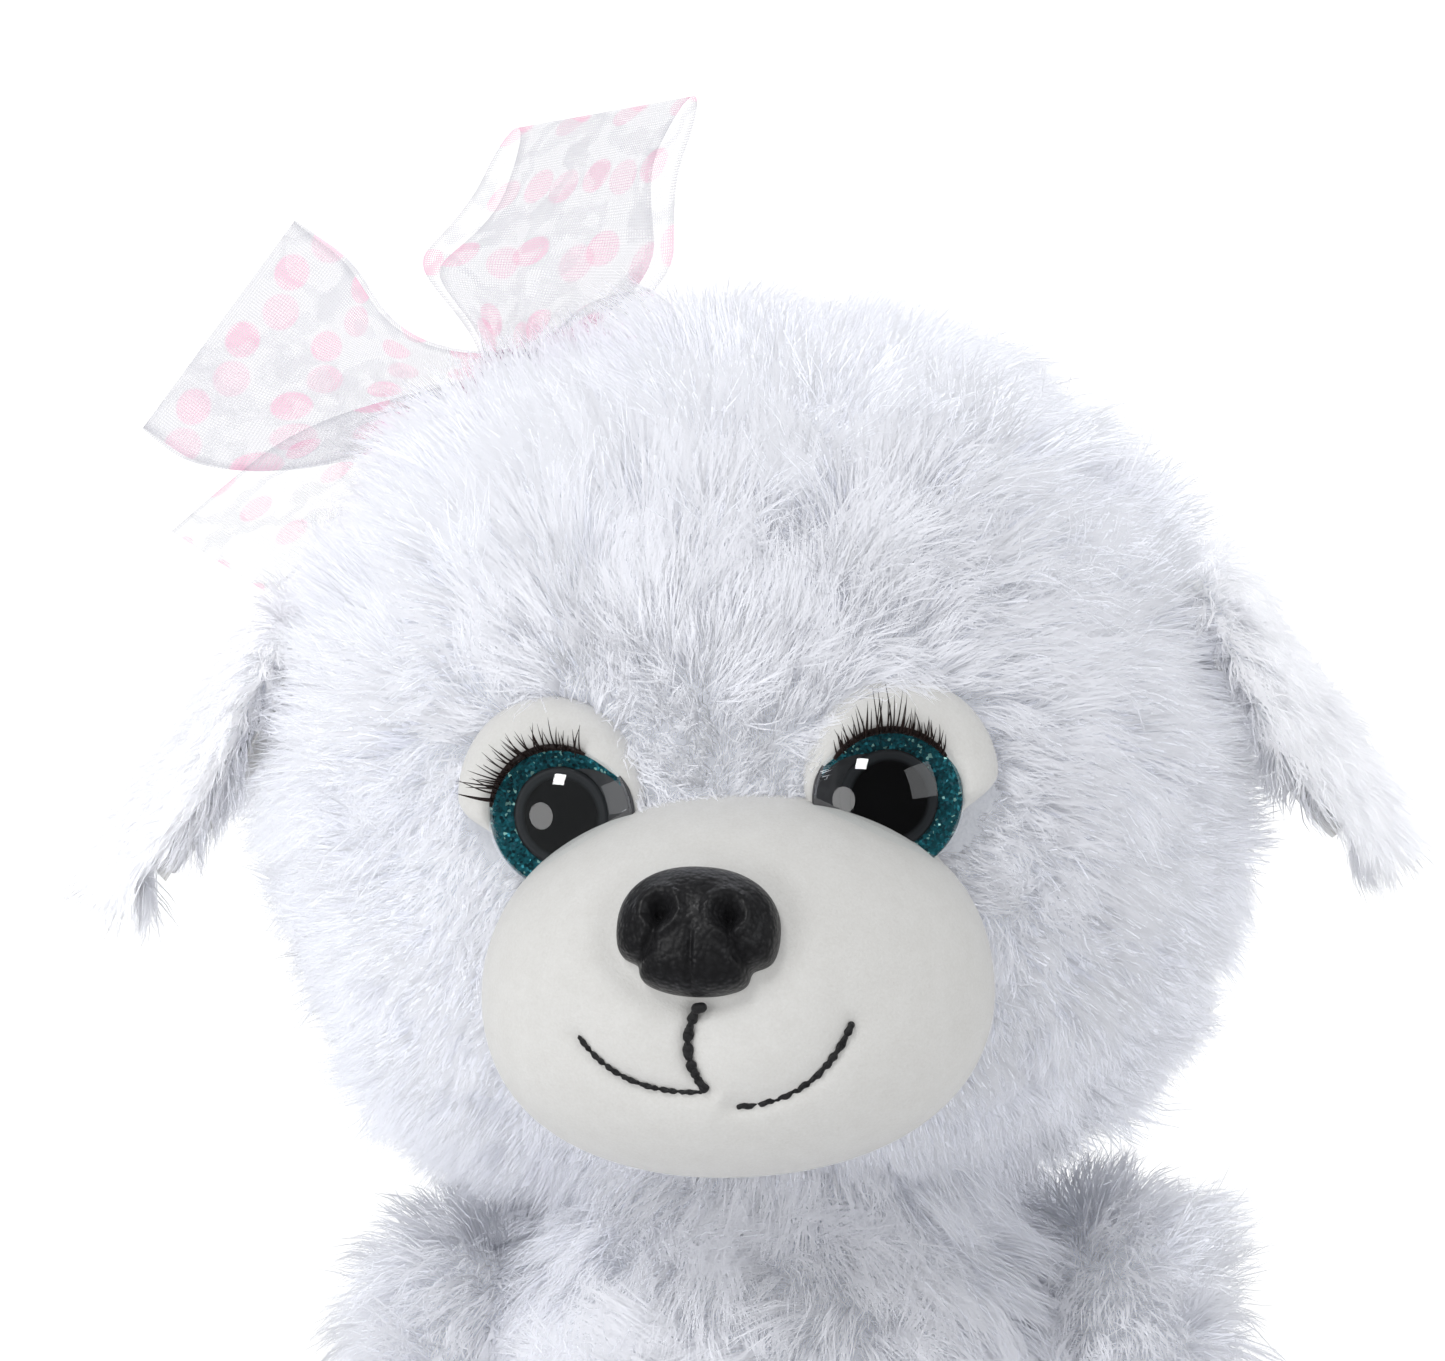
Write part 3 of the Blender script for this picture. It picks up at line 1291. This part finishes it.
# Fine threads both ways, pink dots in staggered rows, watered bands by a sine of noise, firm edges
def organzaFinish():
    material, tree = newMaterial("organza")
    gap, threads = organzaShape["gap"], organzaShape["threads"]
    uv = addNode(tree, "UVMap", {"uv_map": "OFBake"}).outputs["UV"]
    parts = addNode(tree, "SeparateXYZ", None, {0: uv})
    across = maths(tree, "MULTIPLY", parts.outputs["X"], organzaShape["span"])
    along = maths(tree, "MULTIPLY", parts.outputs["Y"], organzaShape["span"])
    row = maths(tree, "FLOOR", maths(tree, "DIVIDE", along, gap))
    shift = maths(tree, "MULTIPLY", maths(tree, "MODULO", row, 2.0), gap / 2)
    x = maths(tree, "SUBTRACT", maths(tree, "MODULO", maths(tree, "ADD", across, shift), gap), gap / 2)
    y = maths(tree, "SUBTRACT", maths(tree, "MODULO", along, gap), gap / 2)
    square = maths(tree, "ADD", maths(tree, "POWER", x, 2.0), maths(tree, "POWER", y, 2.0))
    far = maths(tree, "SQRT", square)
    dot = ramp(tree, far, *organzaShape["dotRim"])
    weft = maths(tree, "SINE", maths(tree, "MULTIPLY", across, threads))
    warp = maths(tree, "SINE", maths(tree, "MULTIPLY", along, threads))
    weave = maths(tree, "MAXIMUM", weft, warp)
    edge = addNode(tree, "Attribute", {"attribute_name": "edge"}).outputs["Fac"]
    wide = addNode(tree, "VectorMath", {"operation": "SCALE"}, {0: uv, "Scale": 6.0}).outputs[0]
    slip = maths(tree, "MULTIPLY", noise(tree, wide, 1.0), 30.0)
    watered = ramp(tree, maths(tree, "SINE", slip), 0.55, 0.95)
    cover = ramp(tree, weave, -1.0, 1.0, 0.13, 0.30)
    cover = maths(tree, "ADD", cover, maths(tree, "MULTIPLY", watered, 0.12))
    cover = maths(tree, "ADD", cover, maths(tree, "MULTIPLY", dot, 0.07))
    cover = maths(tree, "ADD", cover, maths(tree, "MULTIPLY", edge, 0.16), True)
    pale = mixColour(tree, edge, (0.66, 0.66, 0.72, 1), (0.48, 0.48, 0.54, 1))
    colour = mixColour(tree, dot, pale, (0.92, 0.34, 0.56, 1))
    cloth = principled(
        tree, {"Base Color": colour, "Roughness": 0.35, "Sheen Weight": 0.3}
    )
    glow = addNode(tree, "BsdfTranslucent", None, {"Color": colour}).outputs[0]
    solid = addNode(tree, "MixShader", None, {0: 0.5, 1: cloth, 2: glow}).outputs[0]
    clear = addNode(tree, "BsdfTransparent").outputs[0]
    output(tree, addNode(tree, "MixShader", None, {0: cover, 1: clear, 2: solid}).outputs[0])
    return material


ribbonShape = {"width": 36.0, "knotWidth": 9.0, "knot": np.array([-30.6, 0.0, 234.2])}
organza = organzaFinish()


# A ribbon from its middle line, the way its width points at each step, and its width there
def addRibbon(name, line, widthWays, widths, ripple, flatWidth, standsFor, seed):
    columns = 25
    rows = len(line)
    across = np.linspace(-0.5, 0.5, columns)
    travel = np.concatenate([[0], np.cumsum(np.linalg.norm(np.diff(line, axis=0), axis=1))])
    ways = unit(np.gradient(line, axis=0))
    out = unit(np.cross(ways, widthWays))
    crease = np.sin(across[None] * 17 + seed)
    fine = np.sin(across[None] * 31 + seed)
    wave = crease * ripple[:, None] + 0.5 * fine * ripple[:, None]
    points = (
        line[:, None] + across[None, :, None] * (widths[:, None, None] * widthWays[:, None])
        + wave[..., None] * out[:, None]
    )
    faces = [gridFaces(rows, columns, False)]
    piece = addPiece(name, points.reshape(-1, 3), faces, organza, "bow", "organza", standsFor)
    uv = np.stack(np.broadcast_arrays(across[None] * flatWidth + 60, travel[:, None]), -1)
    addUv(piece, "OFBake", uv.reshape(-1, 2) / organzaShape["span"])
    edge = ease(np.abs(across), 0.455, 0.5)
    addAttribute(piece, "edge", np.tile(edge, rows))


# Each loop: its reach from the knot, which way its width points at the knot (near) and at the
# fold (far), half the gap between its layers, how it bulges, and how soon it is full width
loopShapes = {
    "Right": {
        "reach": (-41.0, 5.0, 9.6),
        "near": (0.2, -0.3, 1.0),
        "far": (0.64, 0.0, 0.76),
        "gap": 3.5,
        "bulge": -6.0,
        "spread": 0.85,
        "seed": 0.3,
    },
    "Left": {
        "reach": (15.5, 0.0, 36.0),
        "near": (1.0, 0.2, -0.2),
        "far": (0.60, 0.79, 0.05),
        "gap": 4.0,
        "bulge": -1.5,
        "spread": 0.5,
        "seed": 1.4,
    },
}
# Each tail: its reach from the knot, which way its width points, and how high it arches
tailShapes = {
    "Right": {"reach": (-41.0, -8.0, -22.5), "far": (0.25, 0.85, -0.35), "arch": 3.0, "seed": 2.2},
    "Left": {"reach": (22.0, 14.0, 8.0), "far": (-0.3, 0.9, 0.1), "arch": 2.0, "seed": 3.1},
}


# A loop: out from the knot, over a soft fold and back on the far side of a gap
def addLoop(sideName, shape):
    reach = np.array(shape["reach"])
    s = np.linspace(0, 1, 90)
    out = np.sin(math.pi * s) ** 0.75
    side = np.cos(math.pi * s) * np.sin(math.pi * s) ** 0.6
    far, near = unit(shape["far"]), unit(shape["near"])
    share = ease(out, 0.1, 0.8)[:, None]
    widthWays = unit(near * (1 - share) + far * share)
    thick = unit(np.cross(unit(reach), far))
    line = ribbonShape["knot"] + out[:, None] * reach + (side * shape["gap"])[:, None] * thick
    line = line + (np.sin(math.pi * out) * shape["bulge"])[:, None] * far
    knotWidth = ribbonShape["knotWidth"]
    widths = knotWidth + (ribbonShape["width"] - knotWidth) * ease(out, 0.02, shape["spread"])
    ripple = 0.9 * (1 - ease(out, 0.1, 0.75))
    node = "bow_loop_" + sideName.lower()
    addRibbon("bowLoop" + sideName, line, widthWays, widths, ripple, 34.0, [node], shape["seed"])


# A tail: from the knot along the head in a low arch, widening to its cut end
def addTail(sideName, shape):
    s = np.linspace(0, 1, 50)
    lift = (np.sin(math.pi * s) * shape["arch"])[:, None] * np.array([0, 0, 1.0])
    line = ribbonShape["knot"] + s[:, None] * np.array(shape["reach"]) + lift
    widthWays = np.tile(unit(shape["far"]), (len(s), 1))
    widths = ribbonShape["knotWidth"] + (ribbonShape["width"] - 12) * ease(s, 0.02, 0.7)
    ripple = 0.9 * (1 - ease(s, 0.1, 0.8))
    node = "bow_tail_" + sideName.lower()
    addRibbon("bowTail" + sideName, line, widthWays, widths, ripple, 30.0, [node], shape["seed"])


# The knot: a short tube pinched at its ends, with five folds round it
def makeKnot():
    knot = ribbonShape["knot"]
    steps, around = 40, 60
    s = np.linspace(0, 1, steps)
    turn = np.linspace(0, 2 * math.pi, around, endpoint=False)
    way = unit([0.88, 0, 0.47])
    across, up, _ = facing(way)
    size = 3.6 * (np.sin(math.pi * np.clip(s, 0.02, 0.98)) ** 0.35)
    size = size * (1 - 0.12 * np.cos(2 * math.pi * s))
    folds = 1 + 0.09 * np.cos(5 * turn)[None] + 0.05 * np.cos(9 * turn + 1)[None]
    ring = np.cos(turn)[:, None] * across + np.sin(turn)[:, None] * up
    rows = knot + ((s - 0.5) * 9.5)[:, None, None] * way + (size[:, None] * folds)[..., None] * ring
    piece = addPiece("bowKnot", *closedShell(rows), organza, "bow", "organza", ["bow_knot"])
    uv = np.stack(np.broadcast_arrays((turn * 3.6)[None], (s * 11)[:, None]), -1).reshape(-1, 2)
    addUv(piece, "OFBake", np.concatenate([uv, uv[[0, -1]]]) / organzaShape["span"])
    addAttribute(piece, "edge", np.ones(steps * around + 2))


for sideName in loopShapes:
    addLoop(sideName, loopShapes[sideName])
for sideName in tailShapes:
    addTail(sideName, tailShapes[sideName])
makeKnot()
print("bow done")


# Each light: its place and target, its size in metres, its power in watts, its colour and shape
aimPoint = (0, -0.06, 0.18)
lights = {
    "keyLeft": {
        "place": (-0.86, -1.05, 0.2), "target": aimPoint, "size": 0.7, "power": 2.3,
        "colour": (1.0, 1.0, 1.0), "shape": "DISK",
    },
    "highLeft": {
        "place": (-0.37, -0.98, 1.15), "target": aimPoint, "size": 0.32, "power": 3.6,
        "colour": (1.0, 1.0, 1.0), "shape": "SQUARE",
    },
    "fillRight": {
        "place": (1.3, -0.8, 0.6), "target": aimPoint, "size": 1.0, "power": 2.6,
        "colour": (0.96, 0.98, 1.0), "shape": "SQUARE",
    },
    "fillLeft": {
        "place": (-1.3, -0.5, 0.3), "target": aimPoint, "size": 0.8, "power": 2.8,
        "colour": (0.96, 0.98, 1.0), "shape": "SQUARE",
    },
    "topBack": {
        "place": (0.1, 0.9, 1.3), "target": aimPoint, "size": 0.9, "power": 1.8,
        "colour": (0.97, 0.98, 1.0), "shape": "SQUARE",
    },
    "backWash": {
        "place": (0, 1.0, 1.6), "target": (0, 2.5, 0.1), "size": 1.6, "power": 17,
        "colour": (1.0, 1.0, 1.0), "shape": "SQUARE",
    },
}


# A flat light at its place, turned to face its target
def softBox(name, settings):
    light = bpy.data.lights.new(name, "AREA")
    light.shape = settings["shape"]
    light.size = settings["size"]
    light.energy = settings["power"]
    light.color = settings["colour"]
    lamp = bpy.data.objects.new(name, light)
    bpy.context.scene.collection.objects.link(lamp)
    away = Vector(settings["place"]) - Vector(settings["target"])
    turn = away.to_track_quat("Z", "Y").to_matrix().to_4x4()
    lamp.matrix_world = Matrix.Translation(settings["place"]) @ turn
    return lamp


# A pale sweep: floor in front, curving up to a wall behind
def sweep():
    material, tree = newMaterial("paleSweep")
    place = objectPlace(tree)
    grain = noise(tree, place, 3.0)
    colour = mixColour(tree, grain, (0.90, 0.90, 0.90, 1), (0.93, 0.93, 0.93, 1))
    output(tree, principled(tree, {"Base Color": colour, "Roughness": 0.9, "Specular IOR Level": 0.1}))
    s = np.linspace(0, 1, 60)
    arc = ease(s, 0.45, 0.75) * math.pi / 2
    step = 6200 / 59
    y = -1900 + np.cumsum(np.cos(arc)) * step - step
    z = np.cumsum(np.sin(arc)) * step
    z -= z[0]
    x = np.linspace(-3500, 3500, 12)
    points = np.stack(np.broadcast_arrays(x[None], y[:, None], z[:, None]), -1).reshape(-1, 3)
    floor = addPiece("sweep", points, [gridFaces(60, 12, False)], material, None, None)
    floor.visible_glossy = False


sweep()
world = bpy.data.worlds.new("softRoom")
bpy.context.scene.world = world
world.use_nodes = True
surround = world.node_tree
glossy = addNode(surround, "LightPath").outputs["Is Glossy Ray"]
level = ramp(surround, glossy, 0, 1, 0.6, 0.03)
surround.links.new(level, surround.nodes["Background"].inputs["Strength"])
surround.nodes["Background"].inputs["Color"].default_value = (0.985, 0.99, 1.0, 1)

lamps = {name: softBox(name, settings) for name, settings in lights.items()}
lamps["fillLeft"].visible_glossy = False

# Angles in degrees, the lens in millimetres, the distance from the aim in metres
cameraSet = {"azimuth": 5.2, "elevation": 6.0, "roll": -3.6, "lens": 216.5, "distance": 1.2}
aim = Vector((-0.0042, 0, 0.191))
azimuth, elevation = math.radians(cameraSet["azimuth"]), math.radians(cameraSet["elevation"])
back = Vector(
    (
        math.sin(azimuth) * math.cos(elevation),
        -math.cos(azimuth) * math.cos(elevation),
        math.sin(elevation),
    )
)
cameraData = bpy.data.cameras.new("camera")
cameraData.lens = cameraSet["lens"]
cameraData.sensor_width = 36
cameraData.dof.use_dof = False
camera = bpy.data.objects.new("camera", cameraData)
bpy.context.scene.collection.objects.link(camera)
turn = back.to_track_quat("Z", "Y").to_matrix().to_4x4()
tilt = Matrix.Rotation(math.radians(cameraSet["roll"]), 4, "Z")
camera.matrix_world = Matrix.Translation(aim + back * cameraSet["distance"]) @ turn @ tilt
bpy.context.scene.camera = camera
bpy.context.scene.view_settings.view_transform = "Standard"
